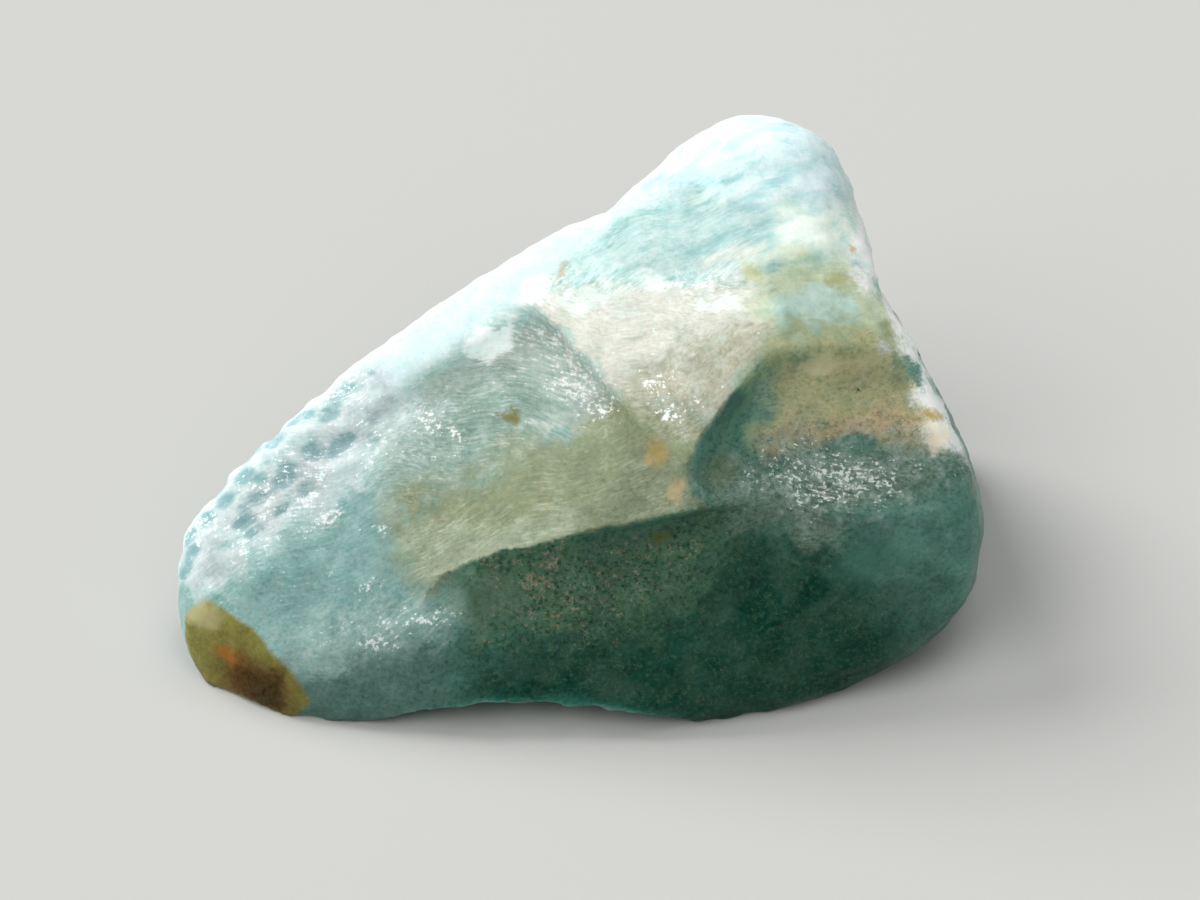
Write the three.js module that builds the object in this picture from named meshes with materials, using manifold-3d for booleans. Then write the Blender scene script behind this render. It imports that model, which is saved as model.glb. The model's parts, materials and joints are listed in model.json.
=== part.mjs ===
// Rough grandidierite crystal, a waterworn pebble of gem rough lying on its flattest side.
// Millimetres, +Z up, +X along the pebble towards its fat end, -Y the worn front.
//
// The body is a polyhedron with blunted edges, measured out from a point inside it. A knob stands
// on its crest, broken chips are cut away with crisp rims, and the underside is worn flat.

import * as THREE from "three";
import { ConvexGeometry } from "three/addons/geometries/ConvexGeometry.js";
import { mergeVertices } from "three/addons/utils/BufferGeometryUtils.js";
import Module from "manifold-3d";

const wasm = await Module();
wasm.setup();

// A block is its heart and the faces around it, each [bearing from +X towards +Y, tilt above level,
// distance from the heart]. Crispness is how little the edges between the faces are rounded off,
// and stretch packs more of the mesh into the two long ends.
const wornBody = {
  heart: [0.8, 5, 3.9],
  crispness: 16,
  detail: 14,
  stretch: 1.6,
  faces: {
    creamSlope: [-104.5, 43, 3.08],
    lowerFront: [-98, 27, 3.75],
    toe: [-88.5, -40, 6.62],
    crown: [-75, 70, 4.15],
    oliveSlope: [-72, 46, 4.2],
    rightFront: [-78, 18, 4.25],
    skyline: [-140, 66, 4.3],
    backLeft: [126, 14, 4.17],
    crestBack: [128, 43, 5.16],
    back: [90, 20, 4.5],
    backFoot: [95, -25, 5],
    leftEnd: [-176, 0, 10.42],
    leftTop: [168, 45, 7.93],
    leftFront: [-123, 27, 6.6],
    leftUnder: [-157, -25, 11.7],
    rightEnd: [-14, -8, 8.7],
    rightShoulder: [13, 26, 6.95],
    rightUnder: [-52, -43, 7.3],
    underneath: [0, -90, 4.35],
  },
};

// The knob stands on three lumps buried in the body, and its skin is drawn straight down over them.
const knobLumps = {
  knob: { centre: [3.95, 9.05, 8.1], radii: [2.2, 1.8, 1.85] },
  crownRoot: { centre: [3.4, 6.4, 6.88], radii: [3.4, 2.0, 1.5] },
  crestRoot: { centre: [1.5, 7.6, 7.3], radii: [1.5, 1.5, 1.5] },
  backRoot: { centre: [3.2, 6.9, 4.2], radii: [4.2, 3.1, 3.2] },
};

// Chips are blocks too. They stand mostly outside the stone, and the walls and floor that reach
// into it are the fresh surfaces that they leave.
const chips = {
  crestRecess: {
    heart: [-2.2, 3.2, 7.8],
    crispness: 9,
    faces: {
      floor: [77, -51, 1.8],
      ridgeWall: [119, 20, 1.22],
      creamWall: [33, 26, 1.82],
      outside: [-102, 53, 3],
      openLeft: [180, -20, 5],
      openBelow: [-95, -40, 5],
    },
  },
  windowScoop: {
    heart: [5.25, 2.1, 7.5],
    crispness: 9,
    faces: {
      floor: [104, -46, 1.95],
      creamWall: [151, 26, 1.78],
      leftWall: [-167, -2, 3.1],
      upperWall: [98, 12, 2.1],
      openRight: [5, -15, 4.2],
      lowerRim: [-90, -45, 2.3],
      outside: [-76, 46, 3],
    },
  },
  lowerScoop: {
    heart: [0.5, 0.2, 4.2],
    crispness: 12,
    faces: {
      floor: [90, -30, 1.3],
      ledgeWall: [104, 38, 1.16],
      outside: [-90, 33, 3],
      openLeft: [180, 0, 5],
      openRight: [0, -20, 6],
      openBelow: [-90, -55, 5.5],
    },
  },
  backScoop: {
    heart: [-5.4, 9.9, 4.9],
    crispness: 3,
    faces: {
      floor: [-54, -14, 4.45],
      outside: [126, 14, 2],
      leftWall: [-144, 0, 3.9],
      rightWall: [36, 0, 3.5],
      upperWall: [-54, 76, 2.9],
      lowerWall: [126, -76, 3.2],
    },
  },
};
const chipDetail = 13;

// Flat breaks, each a point on the break and the [bearing, tilt] that it faces.
const flatBreaks = {
  stainedFace: { point: [-7.47, 0.89, 1.36], facing: [-118, 13] },
  rightBevel: { point: [7.12, 5.32, 7.05], facing: [-23, 44] },
  backBreak: { point: [3.6, 9.95, 3.2], facing: [104, -8] },
  restingFace: { point: [0, 0, 0], facing: [0, -90] },
};

const footArch = { centre: [-1.2, -0.6, -1], radii: [4.8, 1.9, 1.85] };

const lumpDetail = 7;
const slabWidth = 60;
const slabDepth = 20;

const stoneLook = { color: 0x7fa7a0, roughness: 0.35, metalness: 0 };

function direction(bearing, tilt) {
  const b = THREE.MathUtils.degToRad(bearing);
  const t = THREE.MathUtils.degToRad(tilt);
  return new THREE.Vector3(Math.cos(b) * Math.cos(t), Math.sin(b) * Math.cos(t), Math.sin(t));
}

// A closed mesh that keeps only its positions, so that neighbouring triangles share their corners.
function merged(mesh) {
  mesh.deleteAttribute("normal");
  mesh.deleteAttribute("uv");
  return mergeVertices(mesh, 1e-4);
}

function solidOf(mesh) {
  const vertProperties = mesh.attributes.position.array;
  const triVerts = new Uint32Array(mesh.index.array);
  return new wasm.Manifold(new wasm.Mesh({ numProp: 3, vertProperties, triVerts }));
}

// Each point of a ball is pushed along its own ray until the summed pull of the faces reaches one.
function bluntedBlock({ heart, faces, crispness, detail = chipDetail, stretch = 1 }) {
  const mesh = merged(new THREE.IcosahedronGeometry(1, detail));
  const planes = Object.values(faces).map(([b, t, distance]) => direction(b, t).divideScalar(distance));
  const points = mesh.attributes.position;
  const ray = new THREE.Vector3();
  for (let i = 0; i < points.count; i++) {
    ray.fromBufferAttribute(points, i);
    ray.x *= stretch;
    ray.normalize();
    let pull = 0;
    for (const plane of planes) pull += Math.max(0, plane.dot(ray)) ** crispness;
    ray.multiplyScalar(pull ** (-1 / crispness));
    points.setXYZ(i, heart[0] + ray.x, heart[1] + ray.y, heart[2] + ray.z);
  }
  return solidOf(mesh);
}

function lump({ centre, radii }) {
  return merged(new THREE.IcosahedronGeometry(1, lumpDetail))
    .scale(...radii)
    .translate(...centre);
}

function cornersOf(mesh) {
  const points = mesh.attributes.position;
  return Array.from({ length: points.count }, (_, i) => new THREE.Vector3().fromBufferAttribute(points, i));
}

function drawnOver(lumps) {
  return solidOf(merged(new ConvexGeometry(lumps.flatMap((one) => cornersOf(lump(one))))));
}

// Everything beyond a plane, as a slab wide enough to cover the stone.
function beyond({ point, facing }) {
  const up = new THREE.Vector3(0, 0, 1);
  const turn = new THREE.Quaternion().setFromUnitVectors(up, direction(...facing));
  const slab = merged(new THREE.BoxGeometry(slabWidth, slabWidth, slabDepth))
    .translate(0, 0, slabDepth / 2)
    .applyQuaternion(turn)
    .translate(...point);
  return solidOf(slab);
}

// The pebble stands with the middle of its footprint's box on the Z axis.
function centredGeometry(solid) {
  const { vertProperties, triVerts } = solid.getMesh();
  const geometry = new THREE.BufferGeometry();
  geometry.setAttribute("position", new THREE.BufferAttribute(vertProperties, 3));
  geometry.setIndex(new THREE.BufferAttribute(triVerts, 1));
  geometry.computeBoundingBox();
  const middle = geometry.boundingBox.getCenter(new THREE.Vector3());
  return geometry.translate(-middle.x, -middle.y, 0);
}

let stone = bluntedBlock(wornBody).add(drawnOver(Object.values(knobLumps)));
for (const chip of Object.values(chips)) stone = stone.subtract(bluntedBlock(chip));
stone = stone.subtract(solidOf(lump(footArch)));
for (const flatBreak of Object.values(flatBreaks)) stone = stone.subtract(beyond(flatBreak));

const crystal = new THREE.Mesh(centredGeometry(stone), new THREE.MeshStandardMaterial(stoneLook));
crystal.name = "grandidierite_crystal";

const group = new THREE.Group();
group.add(crystal);

export default group;
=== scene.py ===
import bpy
import json
import math
import numpy as np
from mathutils import Matrix, Vector, noise

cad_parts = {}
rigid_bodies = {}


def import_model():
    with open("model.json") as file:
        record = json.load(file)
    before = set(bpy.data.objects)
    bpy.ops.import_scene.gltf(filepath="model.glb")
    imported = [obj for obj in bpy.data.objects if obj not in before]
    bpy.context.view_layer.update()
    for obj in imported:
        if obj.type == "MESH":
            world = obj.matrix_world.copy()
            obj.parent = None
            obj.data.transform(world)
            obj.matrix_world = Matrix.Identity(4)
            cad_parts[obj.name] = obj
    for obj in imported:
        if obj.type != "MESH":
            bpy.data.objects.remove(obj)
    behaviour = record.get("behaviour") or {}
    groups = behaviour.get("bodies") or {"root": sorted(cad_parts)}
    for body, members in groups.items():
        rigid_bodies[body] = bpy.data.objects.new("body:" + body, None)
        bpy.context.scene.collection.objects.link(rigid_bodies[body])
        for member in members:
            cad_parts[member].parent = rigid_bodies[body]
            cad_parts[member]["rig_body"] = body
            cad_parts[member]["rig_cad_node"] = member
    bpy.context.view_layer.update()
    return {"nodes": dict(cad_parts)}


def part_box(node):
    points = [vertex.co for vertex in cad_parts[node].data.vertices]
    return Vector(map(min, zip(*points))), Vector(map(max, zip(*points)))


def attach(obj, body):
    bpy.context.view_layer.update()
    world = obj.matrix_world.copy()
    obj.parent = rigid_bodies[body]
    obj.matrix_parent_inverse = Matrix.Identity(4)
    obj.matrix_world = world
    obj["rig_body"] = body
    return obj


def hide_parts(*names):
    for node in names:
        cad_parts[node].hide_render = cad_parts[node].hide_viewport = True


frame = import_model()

# A piece of grandidierite gem rough: a cloudy blue-green crystal, worn by a river and chipped, with a cream
# skin. Everything is in metres in the CAD's frame; the stone itself is worked in millimetres, because its grain
# is fine.

cadNode = "grandidierite_crystal"
low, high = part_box(cadNode)
size = high - low


def inBox(across, back, up):  # a place inside the crystal's box, as shares of its three sides
    return Vector((low.x + size.x * across, low.y + size.y * back, low.z + size.z * up))


def linear(code):  # sRGB hex to the linear colour Blender works in
    parts = [int(code[i:i + 2], 16) / 255 for i in (1, 3, 5)]
    return tuple(p / 12.92 if p <= 0.04045 else ((p + 0.055) / 1.055) ** 2.4 for p in parts) + (1.0,)


def towards(bearing, tilt):  # a direction from its compass bearing and its tilt above the horizon
    b, t = math.radians(bearing), math.radians(tilt)
    return Vector((math.cos(b) * math.cos(t), math.sin(b) * math.cos(t), math.sin(t)))


def axes(bearing, tilt, roll=0):  # the axes of a face that looks that way, right, up and out, rolled on it
    out = towards(bearing, tilt)
    right = Vector((-math.sin(math.radians(bearing)), math.cos(math.radians(bearing)), 0))
    return Matrix((right, out.cross(right), out)).transposed() @ Matrix.Rotation(math.radians(roll), 3, "Z")


# A zone is a stretch of skin, and each is laid over the ones before it. Its outline is in shares of the stone's
# width and height as seen on one side; edge is how soft the border is, fray how ragged, and feather how far
# fibres cross it, in mm; wrap is how far round the stone the zone reaches, from 1, only what faces that side,
# to -1; outside names scoops that it stays out of. The colours are a shaded and a bright tone, clear is how
# much light comes through, and habit is how fibrous and how splintery the skin is, which sets its painted
# glints, and how many grains of feldspar it holds. Some zones paint light or shade, as said above them.
stone = {
    "grain": 0.088,  # mm between the points of the worked surface
    "rounding": 6,  # smoothing passes that take off the cut's facets and leave its edges worn
    "clouds": ((1.0, 4, 3.1), (1.15, 4, 17.7), (0.62, 3, 41.3)),  # fray, tone, crowding: per mm, octaves, shift
    "bends": ((0.30, 1.1, 0.7), (0.12, 2.3, 2.0)),  # mm deep, per mm and phase of the fibres' gentle bends
    "stretch": 7,  # how many times longer than wide the fibres are drawn
    "fibres": {  # the face that fibres lie on, their turn on it, and their zones; growth is for all the others
        "growth": {"lie": (-103, 50, 34)},
        "level": {"lie": (-103, 50, 3), "zones": ("hairs", "creamTop", "splinterBand")},
        "band": {"lie": (-112, 42, 38), "zones": ("scales", "band")},
        "curl": {"lie": (-90, 66, 22), "zones": ("aquaTop", "knob", "topRight", "mint")},
    },
    "corner": {"heart": (0.0982, 0.1126, 0.1367), "facing": (-118, 13)},  # the stained break at the left foot
    "rimFray": 0.02,  # how ragged the colour is along a scoop's rim, as a share of the scoop
    "rim": 1.045,  # where the skin outside a scoop starts, as a share of the scoop
    "scoops": {  # knocked out of it: a place in each, and its sides, with their bearing, tilt and mm away
        "window": {
            "heart": (0.7712, 0.2206, 0.7538), "crispness": 9,
            "sides": [(104, -46, 1.95), (151, 26, 1.78), (-167, -2, 3.1), (98, 12, 2.1), (5, -15, 4.2),
                      (-90, -45, 2.3), (-76, 46, 3)]},
        "recess": {
            "heart": (0.3770, 0.3189, 0.7839), "crispness": 9, "ragged": 0.16,
            "sides": [(77, -51, 1.8), (119, 20, 1.22), (33, 26, 1.82), (-102, 53, 3), (180, -20, 5),
                      (-95, -40, 5)]},
        "ledge": {
            "heart": (0.5199, 0.0510, 0.4221), "crispness": 12,
            "sides": [(90, -30, 1.3), (104, 38, 1.16), (-90, 33, 3), (180, 0, 5), (0, -20, 6),
                      (-90, -55, 5.5)]},
    },
    "turning": (0.3, 4, 0.8),  # how a zone ends where the stone turns away: how early, how fast, and mm of give
    "seenFrom": {"front": (-90, 40), "back": (90, 35), "end": (0, 20)},  # the sides that outlines are drawn on
    "plain": {"habit": (0.3, 0.1, 0.15), "clear": 0.3},  # the skin where no zone lies
    "zones": {
        "deep": {
            "outline": [(0.24, -0.1), (0.30, 0.12), (0.34, 0.24), (0.36, 0.30), (0.47, 0.36), (0.56, 0.38),
                        (0.60, 0.39), (0.62, 0.46), (0.68, 0.58), (0.72, 0.64), (0.84, 0.64), (1.1, 0.52),
                        (1.1, -0.1)],
            "edge": 4.0, "fray": 0.4, "feather": 0.8, "wrap": -0.9, "colours": ("#083f33", "#3c8a75"),
            "clear": 0.50, "habit": (0.08, 0.08, 0.60)},
        # partly the crystal's deepest teal, partly painted shade: darker along the lower front, which lies in
        # shade
        "deepest": {
            "outline": [(0.36, -0.1), (0.38, 0.12), (0.50, 0.20), (0.60, 0.24), (0.66, 0.32), (0.76, 0.31),
                        (0.84, 0.21), (0.90, 0.05), (0.80, -0.1)],
            "edge": 2.4, "fray": 0.5, "wrap": -0.2, "colours": ("#012f26", "#125a48"), "clear": 0.45,
            "habit": (0.05, 0.03, 0.40)},
        # painted light: the bottom edge is coloured a lighter green, as if lit from below by light bounced off
        # the floor
        "foot": {
            "outline": [(0.34, -0.1), (0.38, 0.035), (0.50, 0.05), (0.60, 0.02), (0.66, -0.1)],
            "edge": 0.6, "fray": 0.2, "wrap": -1.2, "colours": ("#2b6c5d", "#4f9483"), "clear": 0.5,
            "habit": (0.1, 0.0, 0.1)},
        "underLedge": {
            "outline": [(0.33, 0.26), (0.47, 0.30), (0.60, 0.33), (0.62, 0.40), (0.67, 0.39), (0.67, 0.30),
                        (0.61, 0.20), (0.52, 0.16), (0.37, 0.16)],
            "edge": 1.3, "fray": 0.6, "wrap": 0.1, "colours": ("#37624c", "#6d9274"), "clear": 0.4,
            "habit": (0.15, 0.10, 0.8)},
        "rightFace": {
            "outline": [(0.80, 0.34), (0.90, 0.38), (1.1, 0.40), (1.1, 0.22), (0.93, 0.22), (0.86, 0.24)],
            "edge": 1.6, "fray": 0.6, "wrap": -0.7, "colours": ("#599386", "#92beb1"), "clear": 0.5,
            "habit": (0.12, 0.02, 0.2)},
        "backDeep": {
            "outline": [(-0.1, -0.1), (-0.1, 0.40), (0.2, 0.42), (0.42, 0.30), (0.62, 0.36), (0.85, 0.22),
                        (0.92, -0.1)],
            "side": "back", "edge": 2.4, "fray": 0.6, "wrap": -0.3, "colours": ("#235a50", "#4b8d80"),
            "clear": 0.5, "habit": (0.15, 0.05, 0.5)},
        "leftLow": {
            "outline": [(0.12, -0.1), (0.14, 0.10), (0.27, 0.17), (0.33, 0.16), (0.30, -0.1)],
            "edge": 1.8, "fray": 0.5, "wrap": -0.4, "colours": ("#3f675f", "#78998f"), "clear": 0.35,
            "habit": (0.2, 0.05, 0.15)},
        "leftFace": {
            "outline": [(-0.1, 0.12), (0.0, 0.25), (0.16, 0.38), (0.27, 0.42), (0.30, 0.28), (0.27, 0.18),
                        (0.13, 0.11)],
            "edge": 1.6, "fray": 0.4, "feather": 0.9, "wrap": -0.6, "colours": ("#72a39d", "#b5d4d0"),
            "clear": 0.25, "habit": (0.35, 0.4, 0.05)},
        "hairs": {
            "outline": [(0.45, 0.70), (0.52, 0.62), (0.60, 0.52), (0.56, 0.46), (0.42, 0.42), (0.34, 0.34),
                        (0.26, 0.35), (0.22, 0.46), (0.28, 0.56), (0.34, 0.64)],
            "edge": 0.4, "fray": 0.3, "wrap": 0.1, "colours": ("#9cb4ab", "#dce6df"), "clear": 0.2,
            "habit": (1.7, 0.8, 0.03)},
        "hairsLow": {
            "outline": [(0.22, 0.46), (0.27, 0.53), (0.40, 0.555), (0.49, 0.50), (0.42, 0.42), (0.34, 0.34),
                        (0.26, 0.35)],
            "edge": 1.0, "fray": 0.4, "wrap": 0.1, "colours": ("#829e94", "#b6c9be"), "clear": 0.2,
            "habit": (1.5, 0.6, 0.05)},
        # painted light: the recess's steep upper side is coloured paler to lift the shade that falls on it
        "paintedLightSteepSide": {
            "outline": [(0.18, 0.46), (0.24, 0.54), (0.34, 0.66), (0.45, 0.72), (0.435, 0.62), (0.36, 0.57),
                        (0.26, 0.46), (0.22, 0.43)],
            "edge": 0.6, "fray": 0.25, "wrap": 0.1, "colours": ("#a9c3be", "#e3ecea"), "clear": 0.1,
            "habit": (0.6, 0.9, 0.0)},
        "whiteCap": {
            "outline": [(0.36, 0.62), (0.41, 0.63), (0.41, 0.58), (0.38, 0.565), (0.355, 0.58)],
            "edge": 0.2, "fray": 0.2, "wrap": 0.1, "colours": ("#e0e6e1", "#ffffff"), "clear": 0.0,
            "habit": (0.4, 0.2, 0.0)},
        "crushed": {
            "outline": [(0.46, 0.515), (0.50, 0.55), (0.54, 0.53), (0.57, 0.50), (0.535, 0.46),
                        (0.49, 0.465)],
            "edge": 0.5, "fray": 0.4, "wrap": 0.1, "colours": ("#9db3a9", "#dae2d9"), "clear": 0.2,
            "habit": (0.8, 1.0, 0.05)},
        "veil": {
            "outline": [(0.28, 0.37), (0.28, 0.28), (0.30, 0.20), (0.47, 0.20), (0.66, 0.26), (0.68, 0.40),
                        (0.68, 0.46), (0.62, 0.51), (0.54, 0.53), (0.49, 0.47), (0.42, 0.44), (0.35, 0.39)],
            "edge": 1.0, "fray": 0.22, "feather": 0.8, "wrap": 0.1, "outside": ("ledge", "window"),
            "colours": ("#828d6f", "#a5aa89"), "clear": 0.05, "habit": (0.4, 0.12, 0.10)},
        "veilLip": {
            "outline": [(0.28, 0.31), (0.30, 0.20), (0.47, 0.20), (0.52, 0.35), (0.41, 0.33), (0.34, 0.33)],
            "edge": 0.9, "fray": 0.25, "feather": 0.9, "wrap": 0.1, "outside": ("ledge", "window"),
            "colours": ("#8a9579", "#b6bfa8"), "clear": 0.0, "habit": (0.55, 0.2, 0.05)},
        "streak": {
            "outline": [(0.12, 0.15), (0.23, 0.20), (0.34, 0.21), (0.35, 0.17), (0.25, 0.13), (0.16, 0.10)],
            "edge": 0.9, "fray": 0.3, "wrap": 0.1, "colours": ("#83aaa3", "#b8d0ca"), "clear": 0.15,
            "habit": (0.4, 0.75, 0.1)},
        "veilDusk": {
            "outline": [(0.50, 0.40), (0.60, 0.43), (0.66, 0.42), (0.68, 0.30), (0.56, 0.24), (0.49, 0.32)],
            "edge": 1.3, "fray": 0.3, "wrap": 0.1, "outside": ("ledge", "window"),
            "colours": ("#6e765e", "#949a80"), "clear": 0.05, "habit": (0.45, 0.05, 0.2)},
        # partly the pale skin of the upper-left skyline, partly a painted highlight of the light behind it
        "rim": {
            "outline": [(0.20, 0.50), (0.27, 0.50), (0.30, 0.54), (0.34, 0.59), (0.39, 0.64), (0.46, 0.66),
                        (0.48, 0.70), (0.52, 0.75), (0.58, 0.80), (0.57, 1.1), (0.20, 1.1)],
            "edge": 0.5, "fray": 0.25, "wrap": -0.5, "outside": ("recess",),
            "colours": ("#aec6c6", "#d3e0e0"), "clear": 0.0, "habit": (0.2, 0.15, 0.0)},
        "creamMid": {
            "outline": [(0.52, 0.52), (0.57, 0.60), (0.63, 0.64), (0.72, 0.66), (0.78, 0.60), (0.74, 0.50),
                        (0.66, 0.44), (0.58, 0.47)],
            "edge": 0.9, "fray": 0.3, "wrap": 0.1, "outside": ("window", "recess"),
            "colours": ("#a19f89", "#cfcdbd"), "clear": 0.0, "habit": (0.5, 0.6, 0.1)},
        "creamTop": {
            "outline": [(0.44, 0.70), (0.42, 0.58), (0.51, 0.49), (0.58, 0.57), (0.63, 0.61), (0.72, 0.63),
                        (0.73, 0.70), (0.62, 0.71), (0.54, 0.71)],
            "edge": 0.7, "fray": 0.35, "wrap": 0.1, "outside": ("window", "recess"),
            "colours": ("#bdbcab", "#e3e3dc"), "clear": 0.0, "habit": (0.6, 0.35, 0.0)},
        "topRight": {
            "outline": [(0.64, 0.84), (0.84, 0.83), (0.86, 0.72), (0.80, 0.69), (0.70, 0.69), (0.64, 0.73)],
            "edge": 1.0, "fray": 0.35, "wrap": -0.3, "colours": ("#d3e3d6", "#f3f8f1"), "clear": 0.0,
            "habit": (0.2, 0.12, 0.0)},
        "aquaTop": {
            "outline": [(0.45, 0.67), (0.48, 0.73), (0.54, 0.79), (0.60, 0.82), (0.70, 0.82), (0.73, 0.78),
                        (0.70, 0.72), (0.64, 0.67), (0.52, 0.66)],
            "edge": 0.8, "fray": 0.35, "wrap": 0.1, "outside": ("recess",),
            "colours": ("#a9d1ce", "#e6f2ee"), "clear": 0.2, "habit": (0.8, 0.05, 0.0)},
        "lace": {
            "outline": [(0.43, 0.68), (0.50, 0.695), (0.58, 0.69), (0.64, 0.70), (0.69, 0.72), (0.71, 0.68),
                        (0.65, 0.66), (0.58, 0.665), (0.50, 0.665), (0.44, 0.65)],
            "edge": 0.5, "fray": 0.40, "wrap": 0.1, "outside": ("recess",),
            "colours": ("#cfd8cf", "#fbfcf8"), "clear": 0.0, "habit": (1.5, 0.9, 0.0)},
        "knob": {
            "outline": [(0.54, 0.84), (0.60, 1.2), (0.90, 1.2), (0.86, 0.82), (0.75, 0.80), (0.65, 0.82)],
            "edge": 0.6, "fray": 0.3, "wrap": -1.2, "colours": ("#b8cfd1", "#dfecec"), "clear": 0.0,
            "habit": (0.25, 0.05, 0.0)},
        "mint": {
            "outline": [(0.68, 0.69), (0.74, 0.73), (0.81, 0.72), (0.88, 0.66), (0.90, 0.56), (0.81, 0.59),
                        (0.74, 0.58), (0.71, 0.64)],
            "edge": 0.8, "fray": 0.25, "wrap": -0.1, "colours": ("#bfcca4", "#e0e8cf"), "clear": 0.25,
            "habit": (0.3, 0.05, 0.05)},
        "pane": {
            "outline": [(0.715, 0.665), (0.75, 0.685), (0.80, 0.675), (0.815, 0.63), (0.79, 0.59),
                        (0.73, 0.59)],
            "edge": 0.3, "fray": 0.2, "wrap": 0.1, "colours": ("#b8d8cb", "#dff0e6"), "clear": 0.4,
            "habit": (0.15, 0.05, 0.0)},
        "darkPane": {
            "outline": [(0.67, 0.50), (0.68, 0.54), (0.72, 0.60), (0.80, 0.60), (0.77, 0.55), (0.73, 0.50),
                        (0.70, 0.46)],
            "edge": 0.9, "fray": 0.4, "wrap": 0.1, "colours": ("#83ae8c", "#bdd0b2"), "clear": 0.4,
            "habit": (0.2, 0.03, 0.1)},
        "olive": {
            "outline": [(0.71, 0.585), (0.76, 0.595), (0.83, 0.60), (0.89, 0.57), (0.925, 0.49),
                        (0.94, 0.44), (0.88, 0.43), (0.84, 0.44), (0.79, 0.45), (0.745, 0.44), (0.71, 0.41),
                        (0.70, 0.47), (0.70, 0.54)],
            "edge": 1.0, "fray": 0.45, "feather": 0.8, "wrap": 0.1, "colours": ("#a8aa80", "#cac398"),
            "clear": 0.25, "habit": (0.4, 0.12, 0.25)},
        "tanStrip": {
            "outline": [(0.70, 0.40), (0.745, 0.425), (0.80, 0.445), (0.86, 0.445), (0.90, 0.46),
                        (0.865, 0.48), (0.80, 0.48), (0.745, 0.465), (0.705, 0.44)],
            "edge": 0.6, "fray": 0.3, "wrap": 0.1, "colours": ("#a8946f", "#dabd9a"), "clear": 0.1,
            "habit": (0.4, 0.2, 0.5)},
        "splinterBand": {
            "outline": [(0.63, 0.40), (0.70, 0.42), (0.745, 0.445), (0.83, 0.44), (0.90, 0.425),
                        (0.985, 0.43), (0.94, 0.39), (0.885, 0.35), (0.815, 0.32), (0.745, 0.31),
                        (0.675, 0.35), (0.63, 0.365)],
            "edge": 1.2, "fray": 0.4, "wrap": -0.2, "colours": ("#47695c", "#a3b3a5"), "clear": 0.35,
            "habit": (0.4, 0.90, 0.25)},
        # painted highlight: the narrow bevel at the right end is coloured white, as if it caught the light at a
        # graze
        "paintedHighlightBevel": {
            "outline": [(0.81, 0.80), (0.84, 0.80), (0.90, 0.68), (0.97, 0.53), (0.98, 0.42), (0.92, 0.44),
                        (0.885, 0.50), (0.87, 0.56), (0.845, 0.64), (0.81, 0.72)],
            "edge": 0.4, "fray": 0.32, "wrap": -0.05, "colours": ("#dfe6df", "#ffffff"), "clear": 0.0,
            "habit": (0.3, 0.35, 0.0)},
        "endFace": {
            "outline": [(0.46, -0.1), (0.42, 0.22), (0.52, 0.34), (0.80, 0.37), (1.1, 0.27), (1.1, -0.1)],
            "side": "end", "edge": 1.6, "fray": 0.7, "feather": 1.0, "wrap": 0.5,
            "colours": ("#4d867b", "#a9cbc3"), "clear": 0.35, "habit": (0.3, 0.15, 0.3)},
        "band": {
            "outline": [(0.0, 0.23), (0.06, 0.30), (0.13, 0.36), (0.20, 0.43), (0.28, 0.52), (0.33, 0.50),
                        (0.28, 0.43), (0.21, 0.36), (0.13, 0.29), (0.05, 0.21)],
            "edge": 0.9, "fray": 0.3, "wrap": -0.3, "colours": ("#adc8c7", "#ebf3f2"), "clear": 0.1,
            "habit": (0.8, 1.1, 0.0)},
        # painted highlight: pale between the dimples, where their rims catch the light from behind
        "scales": {
            "outline": [(-0.1, 0.24), (-0.1, 0.5), (0.16, 0.8), (0.24, 0.56), (0.28, 0.50), (0.25, 0.43),
                        (0.13, 0.33), (0.04, 0.23)],
            "edge": 0.8, "fray": 0.3, "wrap": -0.5, "colours": ("#99a9ab", "#dadede"), "clear": 0.0,
            "habit": (0.3, 0.8, 0.0)},
    },
    "reliefEdge": 0.6,  # mm over which the relief of a zone fades in
    "relief": [  # worked into the surface one after another; sizes and depths in mm
        {"name": "waver", "kind": "CLOUDS", "size": 0.9, "detail": 2, "depth": 0.24, "spread": (1, 1, 1),
         "seed": 2},
        {"name": "wornLumps", "kind": "CLOUDS", "size": 1.7, "detail": 1, "depth": 0.11,
         "spread": (1, 1, 1)},
        {"name": "dents", "kind": "VORONOI", "size": 1.1, "depth": -0.05, "spread": (1.5, 0.9, 0.9),
         "seed": 3},
        {"name": "growthRidges", "kind": "CLOUDS", "size": 0.34, "detail": 3, "depth": 0.03,
         "spread": (3, 0.8, 0.8), "where": ("veil", "veilLip", "leftFace", "backDeep")},
        {"name": "hairRidges", "kind": "CLOUDS", "size": 0.28, "detail": 3, "depth": 0.04,
         "spread": (4, 0.8, 0.8), "fibres": "level", "where": ("hairs",)},
        {"name": "dimples", "kind": "VORONOI", "size": 0.48, "depth": 0.15, "spread": (1.5, 0.9, 0.9),
         "fibres": "band", "where": ("scales",), "seed": 8},
        {"name": "wrinkles", "kind": "CLOUDS", "size": 0.40, "detail": 3, "depth": 0.10,
         "spread": (2.4, 0.7, 0.7), "fibres": "curl", "where": ("aquaTop", "knob", "topRight"), "seed": 4},
        {"name": "splinters", "kind": "VORONOI", "size": 0.24, "depth": 0.09, "spread": (2.2, 0.8, 0.8),
         "fibres": "level", "where": ("paintedHighlightBevel", "splinterBand"), "seed": 5},
        {"name": "pitting", "kind": "CLOUDS", "size": 0.22, "detail": 3, "depth": 0.035,
         "spread": (1.4, 0.9, 0.9)},
    ],
}

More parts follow.
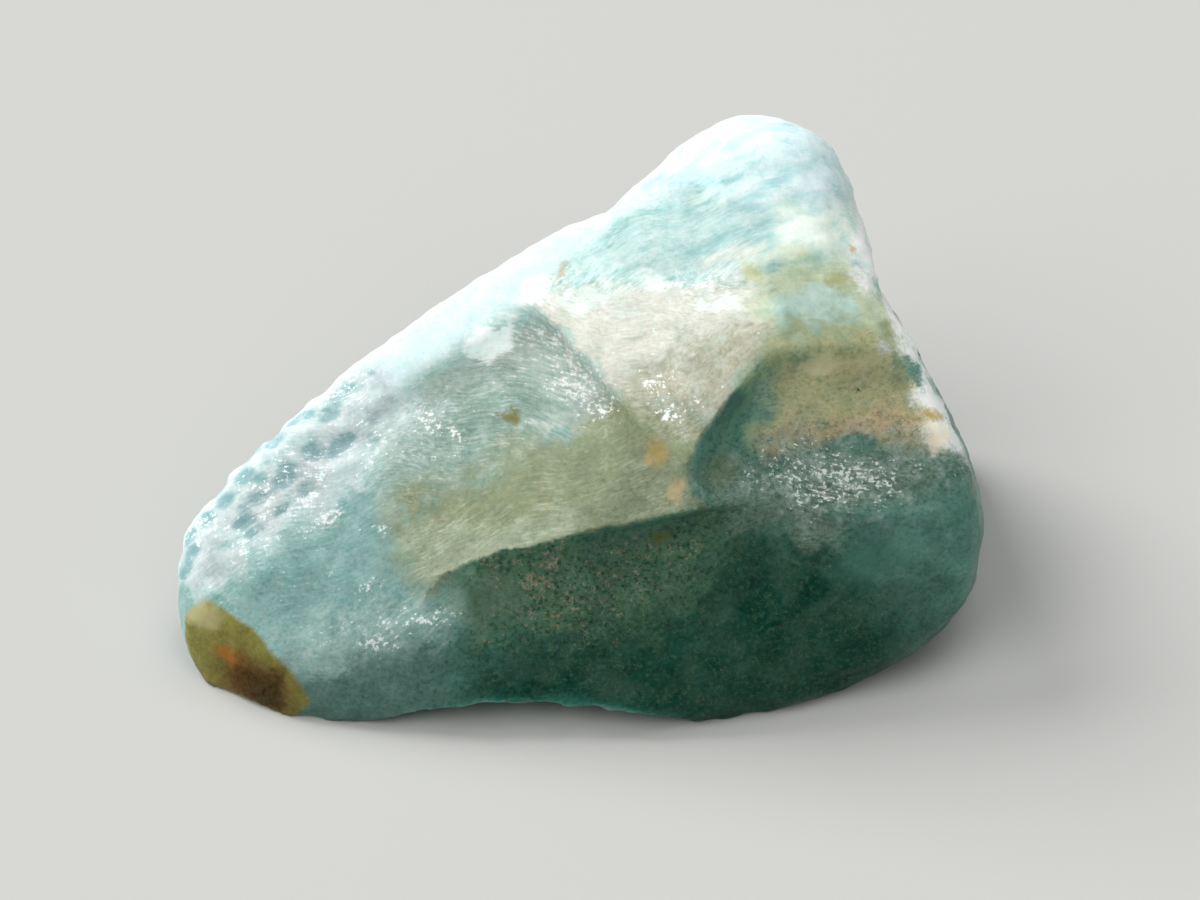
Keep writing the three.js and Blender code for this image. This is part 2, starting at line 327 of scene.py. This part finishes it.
bpy.ops.object.select_all(action="DESELECT")
source = frame["nodes"][cadNode]
source.select_set(True)
bpy.context.view_layer.objects.active = source
bpy.ops.object.duplicate()
crystal = bpy.context.active_object
crystal.name = "worn_crystal"
crystal.parent = None
for tag in ("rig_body", "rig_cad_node"):  # these belong to the CAD's own node
    del crystal[tag]
bpy.ops.transform.resize(value=(1000, 1000, 1000))  # to millimetres
bpy.ops.object.transform_apply(location=False, rotation=False, scale=True)
bpy.ops.object.mode_set(mode="EDIT")
bpy.ops.mesh.select_all(action="SELECT")
bpy.ops.mesh.remove_doubles(threshold=0.002)
bpy.ops.mesh.normals_make_consistent(inside=False)
bpy.ops.object.mode_set(mode="OBJECT")


def worked(name, kind, **settings):  # gives the stone a modifier and applies it
    modifier = crystal.modifiers.new(name, kind)
    for setting, value in settings.items():
        setattr(modifier, setting, value)
    bpy.ops.object.modifier_apply(modifier=name)


worked("evenGrain", "REMESH", mode="VOXEL", voxel_size=stone["grain"])
worked("wornEdges", "SMOOTH", factor=0.5, iterations=stone["rounding"])
print("stone: even grain of", len(crystal.data.polygons), "faces")


def read(kind):  # a property of every point of the stone
    values = np.zeros(len(crystal.data.vertices) * 3)
    crystal.data.vertices.foreach_get(kind, values)
    return values.reshape(-1, 3)


def keep(name, values):  # leaves a number, or three, on every point for the material to read
    kind, field = ("FLOAT", "value") if values.ndim == 1 else ("FLOAT_VECTOR", "vector")
    crystal.data.attributes.new(name, kind, "POINT").data.foreach_set(field, values.astype(np.float32).ravel())


points, normals = read("co"), read("normal")
boxCorners = np.array([inBox(a, b, c) for a in (0, 1) for b in (0, 1) for c in (0, 1)]) * 1000


def along(heart, bearing, tilt):  # mm that each point lies out from a place in that direction
    return (points - np.array(inBox(*heart)) * 1000) @ np.array(towards(bearing, tilt))


clouds = []  # soft ones, from -1.25 to 1.25
for perMm, octaves, shift in stone["clouds"]:
    drift = [noise.fractal(Vector(p) * perMm + Vector((shift, 0, 0)), 0.75, 2.1, octaves) for p in points]
    clouds.append(np.clip(np.array(drift) / (1.6 * np.std(drift)), -1.25, 1.25))
keep("clouds", np.stack(clouds, axis=1))

pulls = {}
for name, scoop in stone["scoops"].items():  # 1 on a scoop's own walls and more outside it
    pull = np.zeros(len(points))
    for bearing, tilt, away in scoop["sides"]:
        pull += np.clip(along(scoop["heart"], bearing, tilt) / away, 0, None) ** scoop["crispness"]
    pulls[name] = pull ** (1 / scoop["crispness"])
    keep(name, pulls[name] + stone["rimFray"] * clouds[0])
keep("corner", along(stone["corner"]["heart"], *stone["corner"]["facing"]))


def beyond(zone):  # mm outside a zone's outline, less than nothing inside it
    turn = np.array(axes(*stone["seenFrom"][zone.get("side", "front")]))
    flat, flatBox = points @ turn, boxCorners @ turn
    start, span = flatBox.min(0)[:2], np.ptp(flatBox, axis=0)[:2]
    outline = [start + span * np.array(p) for p in zone["outline"]]
    nearest, inside = np.full(len(flat), 99.0), np.zeros(len(flat), bool)
    for a, b in zip(outline, outline[1:] + outline[:1]):
        share = np.clip((flat[:, :2] - a) @ (b - a) / ((b - a) @ (b - a)), 0, 1)
        nearest = np.minimum(nearest, np.linalg.norm(flat[:, :2] - a - share[:, None] * (b - a), axis=1))
        crosses = (a[1] > flat[:, 1]) != (b[1] > flat[:, 1])
        inside ^= crosses & (flat[:, 0] < a[0] + (flat[:, 1] - a[1]) * (b[0] - a[0]) / (b[1] - a[1] + 1e-9))
    away = np.where(inside, -nearest, nearest)
    ease, slope, give = stone["turning"]
    facing = normals @ turn[:, 2]
    return np.maximum(away, np.clip((zone["wrap"] + ease - facing) * slope, 0, None) - give)


zones = stone["zones"]
distances = {name: beyond(zone) for name, zone in zones.items()}
habit = np.tile(stone["plain"]["habit"], (len(points), 1))
clearness = np.full(len(points), stone["plain"]["clear"])
for name, away in distances.items():
    keep(name, np.clip(away, -5, 5) + zones[name]["fray"] * clouds[0])
    weight = np.clip(0.5 - away / max(zones[name]["edge"], 0.3), 0, 1)
    for scoop in zones[name].get("outside", ()):
        weight *= pulls[scoop] > stone["rim"]
    habit += weight[:, None] * (np.array(zones[name]["habit"]) - habit)
    clearness += weight * (zones[name]["clear"] - clearness)
keep("habit", habit)
keep("clearness", clearness)
print("stone: skin laid out in", len(zones), "zones")

bent = points.copy()
for (depth, perMm, phase), order in zip(stone["bends"], ([1, 2, 0], [2, 0, 1])):
    bent += depth * np.sin(perMm * points[:, order] + phase)
lengthwise = np.zeros_like(points)  # places measured along the fibres, which are shorter that way
for fibres in stone["fibres"].values():
    turned = bent @ np.array(axes(*fibres["lie"])) / (stone["stretch"], 1, 1)
    here = slice(None)
    if "zones" in fibres:
        here = np.min([distances[name] for name in fibres["zones"]], axis=0) < 0
    lengthwise[here] = turned[here]
keep("lengthwise", lengthwise)

for layer in stone["relief"]:
    texture = bpy.data.textures.new(layer["name"], layer["kind"])
    texture.noise_scale = layer["size"]
    if layer["kind"] == "CLOUDS":
        texture.noise_depth = layer["detail"]
        texture.noise_basis = "IMPROVED_PERLIN"
    grid = bpy.data.objects.new(layer["name"] + "Grid", None)  # stretches and turns the pattern, then goes
    bpy.context.scene.collection.objects.link(grid)
    grid.rotation_euler = axes(*stone["fibres"][layer.get("fibres", "growth")]["lie"]).to_euler()
    grid.scale = layer["spread"]
    grid.location = (layer.get("seed", 0) * 7.3, 0, 0)
    bpy.context.view_layer.update()
    press = {"texture": texture, "texture_coords": "OBJECT", "texture_coords_object": grid,
             "strength": layer["depth"], "mid_level": 0.5}
    if layer["name"] == "waver":  # pushed sideways too, which leaves the rims of the scoops uneven
        texture.cloud_type = "COLOR"
        press["direction"] = "RGB_TO_XYZ"
    if "where" in layer:
        away = np.min([distances[name] for name in layer["where"]], axis=0)
        weights = np.clip(0.5 - away / stone["reliefEdge"], 0, 1)
        group = crystal.vertex_groups.new(name=layer["name"])
        for i in np.nonzero(weights)[0]:
            group.add([int(i)], float(weights[i]), "REPLACE")
        press["vertex_group"] = group.name
    before = read("co")
    worked(layer["name"], "DISPLACE", **press)
    if layer["name"] in ("dimples", "wrinkles"):  # how far each point was pushed, to colour the hollows
        pushed = ((read("co") - before) * normals).sum(1) / layer["depth"]
        keep(layer["name"] + "Pushed", np.where(weights > 0.5, pushed, 1))
    bpy.data.objects.remove(grid)
crystal.vertex_groups.clear()
settled = read("co")
settled[:, 2] = np.maximum(settled[:, 2], low.z * 1000)  # nothing sinks below the face that it lies on
crystal.data.vertices.foreach_set("co", settled.ravel())
print("stone: relief worked in,", len(stone["relief"]), "layers")

bpy.ops.transform.resize(value=(0.001, 0.001, 0.001))  # back to metres
bpy.ops.object.transform_apply(location=False, rotation=False, scale=True)
bpy.ops.object.shade_smooth()


def add(tree, kind, links=None, out=0, **settings):  # one node with its settings and links
    made = tree.nodes.new("ShaderNode" + kind)
    for name, value in settings.items():
        setattr(made, name, value)
    for socket, value in (links or {}).items():
        if isinstance(value, bpy.types.NodeSocket):
            tree.links.new(value, made.inputs[socket])
        else:
            made.inputs[socket].default_value = value
    return made.outputs[out]


look = {
    "ior": 1.6,  # grandidierite, 1.59 to 1.62
    "sheen": 0.04,  # the worn skin is dull and gives back less than a polished face would
    "sheenTint": "#86b0a4",  # and gives it back greener, from just below its surface
    "roughness": (0.34, 0.48),  # of the clear broken faces and of the worn, cloudy skin
    "scatter": 0.85,  # share of the skin's light that wanders below it
    "scatterDepth": 0.0014,  # metres that it wanders
    "scatterReach": (0.6, 1.0, 0.95),  # and how far red, green and blue get, as shares of that
    "absorption": "#20e6cc",  # the colour that is left of light gone through clear stone
    "density": 420,  # per metre
    "mottlePerMm": 3.0,
    "gritPerMm": 10,
    "fibresPerMm": 16,  # bundles of a tenth of a millimetre stand for fibres too fine to show
    "jag": 0.7,  # mm that the mottling tears the outlines of stains
    "skin": ("#6fa3a0", "#a9c9c6"),
    "fibreBright": ("#eef3ec", 0.7),  # each with its share
    "fibreShade": ("#5c8b82", 0.25),
    "murk": ("#46593c", 0.6),  # dull clouds where feldspar crowds
    "paintedHollowShade": (("dimples", "#7ca2a6", 0.75), ("wrinkles", "#84c4c8", 0.35)),  # painted shade: their hollows are coloured darker teal
    "wander": ("#12604f", 0.6),  # the clear parts wander between green and blue
    "hazes": ((2, "#5f7350", 0.4), (1, "#cddbd5", 0.7)),  # soft, over feldspar (2) and over splinters (1)
    "speckles": ((0, 0.50, 0.34, "#02251d"), (1, 0.52, 0.66, "#6f9470")),  # which grit, where none, where full
    # painted glints: white laid on as colour where cleavage splinters would catch the light
    "paintedGlint": "#f6faf8",
    "feldspar": ("#8f845a", "#cfae98"),  # tan and pink
    "pepper": "#2a3026",  # rare black grains
    # the white of the painted highlights
    "paintedFlash": "#fafbf8",
    "iron": ("#6c6a30", "#a09a56"),  # the stained corner, olive through and through
    "ironGrit": ("#c9a860", 0.16),
    "ironMarks": [  # tan at its top and brown in its middle: place, reach in mm, colour, share
        ((0.100, 0.095, 0.055), (1.30, 0.95, 1.6), "#5a3006", 1.0),
        ((0.112, 0.090, 0.050), (0.80, 0.70, 1.6), "#2c1802", 0.95),
        ((0.068, 0.131, 0.107), (0.46, 0.34, 0.9), "#b06a24", 0.80),
        ((0.033, 0.182, 0.187), (0.80, 0.50, 1.2), "#c4bc90", 0.80),
    ],
    "stains": [  # single iron stains, flecks, veils, two of painted light: place, reach in mm, facing and turn, colour, share
        ((0.407, 0.364, 0.593), (0.24, 0.20, 0.6), (-103, 53), "#8f8540", 0.80),
        ((0.579, 0.271, 0.573), (0.26, 0.38, 0.8), (-103, 52), "#b09a5e", 0.75),
        ((0.602, 0.224, 0.500), (0.30, 0.30, 0.8), (-103, 52), "#c2ab84", 0.70),
        ((0.582, 0.184, 0.415), (0.28, 0.20, 0.6), (-90, 30), "#6e7238", 0.75),
        ((0.468, 0.560, 0.835), (0.15, 0.26, 0.6), (-110, 66), "#b99a68", 0.50),
        ((0.900, 0.385, 0.570), (0.32, 0.22, 0.6), (-85, 50), "#b89f50", 0.85),
        ((0.905, 0.355, 0.535), (0.42, 0.36, 0.9), (-80, 45), "#f3e8d3", 0.95),
        ((0.818, 0.645, 0.835), (0.16, 0.18, 0.6), (-30, 50), "#d3a06a", 0.75),
        ((0.690, 0.560, 0.815), (0.30, 0.26, 0.8), (-80, 66), "#b9b45f", 0.45),
        ((0.790, 0.560, 0.790), (0.42, 0.36, 0.8), (-60, 60), "#a3a45c", 0.55),
        ((0.840, 0.500, 0.700), (0.46, 0.36, 0.8), (-60, 55), "#848a4e", 0.60),
        # painted light: these two lift the shade at the top of the olive slope, under the window scoop's roof
        ((0.769, 0.411, 0.700), (0.60, 0.30, 0.8), (-80, 20), "#d9d2ae", 0.65),
        ((0.828, 0.429, 0.700), (0.60, 0.26, 0.8), (-80, 20), "#cfc9a2", 0.60),
        ((0.372, 0.118, 0.291), (1.10, 0.70, 1.2), (-90, 30), "#7c9a80", 0.45),
        ((0.672, 0.300, 0.640), (0.90, 0.12, 0.9), (-75, 36, 52), "#7ba98c", 0.50),
        ((0.650, 0.290, 0.620), (0.70, 0.10, 0.9), (-75, 36, 47), "#7ba98c", 0.45),
        ((0.690, 0.290, 0.630), (0.60, 0.10, 0.9), (-75, 36, 60), "#94b495", 0.40),
        ((0.655, 0.240, 0.560), (0.50, 0.35, 0.8), (-75, 36, 40), "#6d7f52", 0.50),
        ((0.840, 0.171, 0.356), (1.30, 0.60, 1.2), (-77, 18, 10), "#69a08c", 0.35),
        ((0.810, 0.399, 0.627), (0.06, 0.10, 0.3), (-76, 46), "#15150f", 0.95),
    ],
    "paintedFlashes": [  # painted highlights of cleavage splinters: place, reach in mm, facing and turn
        ((0.309, 0.374, 0.577), (0.40, 0.14, 0.5), (-103, 51, -35)),
        ((0.342, 0.342, 0.561), (0.40, 0.10, 0.5), (-103, 51, -60)),
        ((0.489, 0.380, 0.646), (0.75, 0.20, 0.6), (-103, 51, -18)),
        ((0.515, 0.349, 0.632), (0.45, 0.16, 0.6), (-103, 51, 20)),
        ((0.576, 0.341, 0.702), (0.32, 0.20, 0.6), (-103, 44, 0)),
        ((0.591, 0.301, 0.662), (0.36, 0.20, 0.6), (-103, 44, -30)),
        ((0.245, 0.084, 0.192), (0.44, 0.14, 0.5), (-100, 30, 10)),
        ((0.254, 0.222, 0.398), (0.28, 0.10, 0.5), (-104, 41, 10)),
        ((0.243, 0.151, 0.299), (0.34, 0.10, 0.5), (-102, 38, 30)),
        ((0.312, 0.100, 0.255), (0.65, 0.14, 0.5), (-100, 32, 15)),
        ((0.188, 0.249, 0.397), (0.55, 0.14, 0.5), (-104, 42, 35)),
    ],
}
inColour = {"out": 2, "data_type": "RGBA"}  # a Mix of colours, which reads sockets 6 and 7 and gives 2

skin = bpy.data.materials.new("grandidierite")  # glassy where it broke, dull and cloudy where the river wore it
skin.use_nodes = True
tree = skin.node_tree
tree.nodes.clear()
place = add(tree, "TexCoord", out="Object")
mm = add(tree, "VectorMath", {0: place, "Scale": 1000}, operation="SCALE")
parts = add(tree, "SeparateXYZ", {0: add(tree, "Attribute", out="Vector", attribute_name="clouds")}).node
fray, cloud, crowding = parts.outputs[0], parts.outputs[1], parts.outputs[2]
cloudy = add(tree, "MapRange", {"Value": cloud, "From Min": -1.2, "From Max": 1.2})

# mottling of the skin, a third of a millimetre and less, and its grit, a tenth of a millimetre and less
mottle = add(tree, "TexNoise", {"Vector": mm, "Scale": look["mottlePerMm"], "Detail": 3, "Roughness": 0.65},
             out="Color")
jagged = add(tree, "VectorMath", {0: mottle, 1: (-0.5, -0.5, -0.5)}, operation="ADD")
jagged = add(tree, "VectorMath", {0: jagged, 1: [look["jag"]] * 3, 2: mm}, operation="MULTIPLY_ADD")
mottle = add(tree, "SeparateColor", {0: mottle}).node
patchy = add(tree, "MapRange", {"Value": mottle.outputs[0], "From Min": 0.32, "From Max": 0.68})
grit = add(tree, "TexNoise", {"Vector": mm, "Scale": look["gritPerMm"], "Detail": 3, "Roughness": 0.75},
           out="Color")
grit = add(tree, "SeparateColor", {0: grit}).node
gritty = add(tree, "MapRange", {"Value": grit.outputs[0], "From Min": 0.3, "From Max": 0.7})

lengthwise = add(tree, "Attribute", out="Vector", attribute_name="lengthwise")
fibre = add(tree, "TexNoise", {"Vector": lengthwise, "Scale": look["fibresPerMm"], "Detail": 2,
                               "Roughness": 0.7})
feather = add(tree, "Math", {0: 0.5, 1: fibre}, operation="SUBTRACT")
outside = {}  # 0 in each scoop and 1 outside it
for name, scoop in stone["scoops"].items():
    ragged = scoop.get("ragged", 0.05)
    pull = add(tree, "Attribute", out="Fac", attribute_name=name)
    pull = add(tree, "Math", {0: patchy, 1: ragged, 2: pull}, operation="MULTIPLY_ADD")
    outside[name] = add(tree, "MapRange", {"Value": pull, "From Min": 1.015 + ragged / 2,
                                           "From Max": 1.065 + ragged / 2}, interpolation_type="SMOOTHSTEP")

fibreLight = add(tree, "MapRange", {"Value": fibre, "From Min": 0.50, "From Max": 0.78})
fibreShade = add(tree, "MapRange", {"Value": fibre, "From Min": 0.48, "From Max": 0.24})
clouded = add(tree, "Mix", {0: 0.50, 2: cloudy, 3: patchy})
clouded = add(tree, "Mix", {0: 0.5, 2: clouded, 3: gritty})
stranded = add(tree, "MapRange", {"Value": fibre, "From Min": 0.28, "From Max": 0.72})
tone = add(tree, "Mix", {0: 0.25, 2: clouded, 3: stranded})

shaded, bright = look["skin"]
colour = add(tree, "Mix", {0: tone, 6: linear(shaded), 7: linear(bright)}, **inColour)
for name, zone in zones.items():
    away = add(tree, "Attribute", out="Fac", attribute_name=name)
    away = add(tree, "Math", {0: feather, 1: zone.get("feather", 0.5), 2: away}, operation="MULTIPLY_ADD")
    mask = add(tree, "MapRange", {"Value": away, "From Min": zone["edge"] / 2, "From Max": -zone["edge"] / 2},
               interpolation_type="SMOOTHSTEP")
    for scoop in zone.get("outside", ()):
        mask = add(tree, "Math", {0: mask, 1: outside[scoop]}, operation="MULTIPLY")
    shaded, bright = zone["colours"]
    share = tone if zone["habit"][0] > 0.25 else clouded  # strands show only in fibrous skin
    shades = add(tree, "Mix", {0: share, 6: linear(shaded), 7: linear(bright)}, **inColour)
    colour = add(tree, "Mix", {0: mask, 6: colour, 7: shades}, **inColour)
clearness = add(tree, "Attribute", out="Fac", attribute_name="clearness")
kinds = add(tree, "SeparateColor", {0: add(tree, "Attribute", out="Color", attribute_name="habit")}).node
fibrous, paintedGlintShare, grainy = kinds.outputs[0], kinds.outputs[1], kinds.outputs[2]

code, share = look["fibreBright"]
strands = add(tree, "Math", {0: fibrous, 1: patchy}, operation="MULTIPLY")
strands = add(tree, "Math", {0: fibreLight, 1: strands}, operation="MULTIPLY")
strands = add(tree, "Math", {0: strands, 1: share}, operation="MULTIPLY")
colour = add(tree, "Mix", {0: strands, 6: colour, 7: linear(code)}, **inColour)
code, share = look["fibreShade"]
strands = add(tree, "Math", {0: fibreShade, 1: fibrous}, operation="MULTIPLY")
strands = add(tree, "Math", {0: strands, 1: share}, operation="MULTIPLY")
colour = add(tree, "Mix", {0: strands, 6: colour, 7: linear(code)}, **inColour)

code, share = look["murk"]
murk = add(tree, "MapRange", {"Value": fray, "From Min": -0.1, "From Max": 0.9})
murk = add(tree, "Math", {0: murk, 1: grainy}, operation="MULTIPLY")
murk = add(tree, "Math", {0: murk, 1: share}, operation="MULTIPLY")
colour = add(tree, "Mix", {0: murk, 6: colour, 7: linear(code)}, **inColour)

torn = add(tree, "Math", {0: feather, 1: 3.0, 2: 1.0}, operation="MULTIPLY_ADD")
# painted shade: darker teal laid into the hollows that the dimples and wrinkles pushed in
for name, code, share in look["paintedHollowShade"]:
    pushed = add(tree, "Attribute", out="Fac", attribute_name=name + "Pushed")
    pushed = add(tree, "Math", {0: pushed, 1: torn}, operation="MULTIPLY")
    hollowShade = add(tree, "MapRange", {"Value": pushed, "From Min": 0.03, "From Max": -0.15})
    hollowShade = add(tree, "Math", {0: hollowShade, 1: share}, operation="MULTIPLY")
    colour = add(tree, "Mix", {0: hollowShade, 6: colour, 7: linear(code)}, **inColour)

code, share = look["wander"]
wander = add(tree, "MapRange", {"Value": mottle.outputs[1], "From Min": 0.40, "From Max": 0.70,
                                "To Max": share})
wander = add(tree, "Math", {0: wander, 1: clearness}, operation="MULTIPLY")
colour = add(tree, "Mix", {0: wander, 6: colour, 7: linear(code)}, **inColour)

# painted glints where cleavage splinters catch light, drawn along the fibres, and feldspar grains, in crowds
crowding = add(tree, "MapRange", {"Value": crowding, "From Min": -1.0, "From Max": 1.0, "To Min": 0.15,
                                  "To Max": 0.85})
crowding = add(tree, "Math", {0: patchy, 1: 0.6, 2: crowding}, operation="MULTIPLY_ADD")
for part, code, share in look["hazes"]:
    haze = add(tree, "MapRange", {"Value": mottle.outputs[part], "From Min": 0.50, "From Max": 0.70,
                                  "To Max": share})
    haze = add(tree, "Math", {0: haze, 1: kinds.outputs[part]}, operation="MULTIPLY")
    colour = add(tree, "Mix", {0: haze, 6: colour, 7: linear(code)}, **inColour)
for part, none, full, code in look["speckles"]:  # dark and pale ones among the feldspar
    speck = add(tree, "MapRange", {"Value": grit.outputs[part], "From Min": none, "From Max": full})
    speck = add(tree, "Math", {0: speck, 1: grainy}, operation="MULTIPLY")
    colour = add(tree, "Mix", {0: speck, 6: colour, 7: linear(code)}, **inColour)
paintedGlint = add(tree, "Mix", {0: 0.7, 2: fibre, 3: grit.outputs[1]})
tan, pink = look["feldspar"]
feldspar = add(tree, "Mix", {0: patchy, 6: linear(tan), 7: linear(pink)}, **inColour)
for kind, grain, rare, crowd, most, laid in (
        (paintedGlintShare, paintedGlint, 0.70, -0.17, 0.85, linear(look["paintedGlint"])),
        (grainy, grit.outputs[2], 0.76, -0.24, 0.6, feldspar)):
    need = add(tree, "Math", {0: crowding, 1: kind}, operation="MULTIPLY")
    need = add(tree, "Math", {0: need, 1: crowd, 2: rare}, operation="MULTIPLY_ADD")
    over = add(tree, "Math", {0: grain, 1: need}, operation="SUBTRACT")
    shown = add(tree, "MapRange", {"Value": over, "From Min": -0.01, "From Max": 0.05, "To Max": most})
    colour = add(tree, "Mix", {0: shown, 6: colour, 7: laid}, **inColour)
pepper = add(tree, "MapRange", {"Value": grit.outputs[0], "From Min": 0.175, "From Max": 0.15})
colour = add(tree, "Mix", {0: pepper, 6: colour, 7: linear(look["pepper"])}, **inColour)


def awayFrom(middle, reach, facing):  # 0 in the middle of a mark and 1 at its reach, round a jagged outline
    inward = add(tree, "Mapping", {"Vector": jagged, "Location": inBox(*middle) * 1000,
                                   "Rotation": axes(*facing).to_euler(), "Scale": reach}, vector_type="TEXTURE")
    return add(tree, "VectorMath", {0: inward}, out="Value", operation="LENGTH")


for middle, reach, facing, code, share in look["stains"]:
    mark = add(tree, "MapRange", {"Value": awayFrom(middle, reach, facing), "From Min": 1.2, "From Max": 0.4,
                                  "To Max": share}, interpolation_type="SMOOTHSTEP")
    colour = add(tree, "Mix", {0: mark, 6: colour, 7: linear(code)}, **inColour)

# painted highlights: white laid on in crowds of fine glints around each of those places
nearest = awayFrom(*look["paintedFlashes"][0])
for paintedFlash in look["paintedFlashes"][1:]:
    nearest = add(tree, "Math", {0: nearest, 1: awayFrom(*paintedFlash)}, operation="MINIMUM")
need = add(tree, "Math", {0: nearest, 1: 0.11, 2: 0.45}, operation="MULTIPLY_ADD")
over = add(tree, "Math", {0: paintedGlint, 1: need}, operation="SUBTRACT")
shown = add(tree, "MapRange", {"Value": over, "From Min": -0.01, "From Max": 0.05, "To Max": 0.9})
colour = add(tree, "Mix", {0: shown, 6: colour, 7: linear(look["paintedFlash"])}, **inColour)

# the broken left foot, stained by iron
shaded, bright = look["iron"]
rusty = add(tree, "Mix", {0: clouded, 6: linear(shaded), 7: linear(bright)}, **inColour)
for middle, reach, code, share in look["ironMarks"]:
    away = awayFrom(middle, reach, stone["corner"]["facing"])
    mark = add(tree, "MapRange", {"Value": away, "From Min": 1.1, "From Max": 0.3, "To Max": share},
               interpolation_type="SMOOTHSTEP")
    rusty = add(tree, "Mix", {0: mark, 6: rusty, 7: linear(code)}, **inColour)
code, share = look["ironGrit"]
sand = add(tree, "Math", {0: gritty, 1: share}, operation="MULTIPLY")
rusty = add(tree, "Mix", {0: sand, 6: rusty, 7: linear(code)}, **inColour)
corner = add(tree, "Attribute", out="Fac", attribute_name="corner")
corner = add(tree, "MapRange", {"Value": corner, "From Min": -0.12, "From Max": -0.05},
             interpolation_type="SMOOTHSTEP")
colour = add(tree, "Mix", {0: corner, 6: colour, 7: rusty}, **inColour)

glassy, dull = look["roughness"]
rough = add(tree, "MapRange", {"Value": clearness, "From Min": 0.0, "From Max": 0.6, "To Min": dull,
                               "To Max": glassy})
surface = add(tree, "BsdfPrincipled", {
    "IOR": look["ior"], "Specular IOR Level": look["sheen"], "Specular Tint": linear(look["sheenTint"]),
    "Subsurface Weight": look["scatter"], "Subsurface Radius": look["scatterReach"],
    "Subsurface Scale": look["scatterDepth"], "Transmission Weight": clearness, "Base Color": colour,
    "Roughness": rough})
depth = add(tree, "VolumeAbsorption", {"Color": linear(look["absorption"]), "Density": look["density"]})
result = tree.nodes.new("ShaderNodeOutputMaterial")
tree.links.new(surface, result.inputs["Surface"])
tree.links.new(depth, result.inputs["Volume"])
crystal.data.materials.clear()
crystal.data.materials.append(skin)
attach(crystal, "root")
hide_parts(cadNode)
print("stone: grandidierite painted with", len(tree.nodes), "nodes")

studio = {
    "floor": "#aeaeab",
    "floorSide": 2.4,  # metres
    "light": "#dfe6ea",
    "lightStrength": 0.16,
    "backdrop": "#e0e1de",
    "lamps": [  # bearing, tilt, metres away, metres across, watts
        ("window", 146, 42, 1.28, 0.72, 15.4),
        ("overhead", 40, 72, 1.60, 1.28, 9.6),
        ("sky", -145, 48, 1.60, 1.28, 15.4),
        ("fill", -55, 48, 2.40, 1.60, 12.8),
    ],
    "lens": 85,  # mm, on a sensor 36 mm wide
    "aim": (0.5120, 0.3546, 0.5025),  # what the camera looks at, as shares of the box
    "from": (-90, 40),
    "distance": 0.06335,
}
bpy.ops.object.select_all(action="DESELECT")
bpy.ops.mesh.primitive_plane_add(size=studio["floorSide"], location=(0, 0, low.z))
floor = bpy.context.active_object
floor.name = "studio_floor"
paper = bpy.data.materials.new("matt_paper")  # a sheet of pale paper, which shows no gloss
paper.use_nodes = True
sheet = paper.node_tree.nodes["Principled BSDF"]
sheet.inputs["Base Color"].default_value = linear(studio["floor"])
sheet.inputs["Roughness"].default_value = 0.9
floor.data.materials.append(paper)

sky = bpy.data.worlds.new("studio")  # lights dimly all round, and where it is seen it is as pale as the floor
sky.use_nodes = True
air = sky.node_tree
seen = add(air, "LightPath", out="Is Camera Ray")
dim = add(air, "Background", {"Color": linear(studio["light"]), "Strength": studio["lightStrength"]})
pale = add(air, "Background", {"Color": linear(studio["backdrop"]), "Strength": 1})
both = add(air, "MixShader", {0: seen, 1: dim, 2: pale})
air.links.new(both, air.nodes["World Output"].inputs["Surface"])
bpy.context.scene.world = sky


def stand(name, data, aim, bearing, tilt, away):  # puts a lamp or camera that far out, looking back at its aim
    holder = bpy.data.objects.new(name, data)
    bpy.context.scene.collection.objects.link(holder)
    holder.location = aim + towards(bearing, tilt) * away
    holder.rotation_euler = (-towards(bearing, tilt)).to_track_quat("-Z", "Y").to_euler()
    return holder


for name, bearing, tilt, away, across, watts in studio["lamps"]:
    lamp = bpy.data.lights.new(name, "AREA")
    lamp.shape = "DISK"
    lamp.size = across
    lamp.energy = watts
    stand(name, lamp, inBox(0.5, 0.5, 0.5), bearing, tilt, away)

cameraData = bpy.data.cameras.new("camera")
cameraData.lens = studio["lens"]
cameraData.sensor_width = 36
cameraData.clip_start = 0.001
cameraData.clip_end = 10
camera = stand("camera", cameraData, inBox(*studio["aim"]), *studio["from"], studio["distance"])
bpy.context.scene.camera = camera
bpy.context.scene.view_settings.view_transform = "Standard"

print("studio: done")
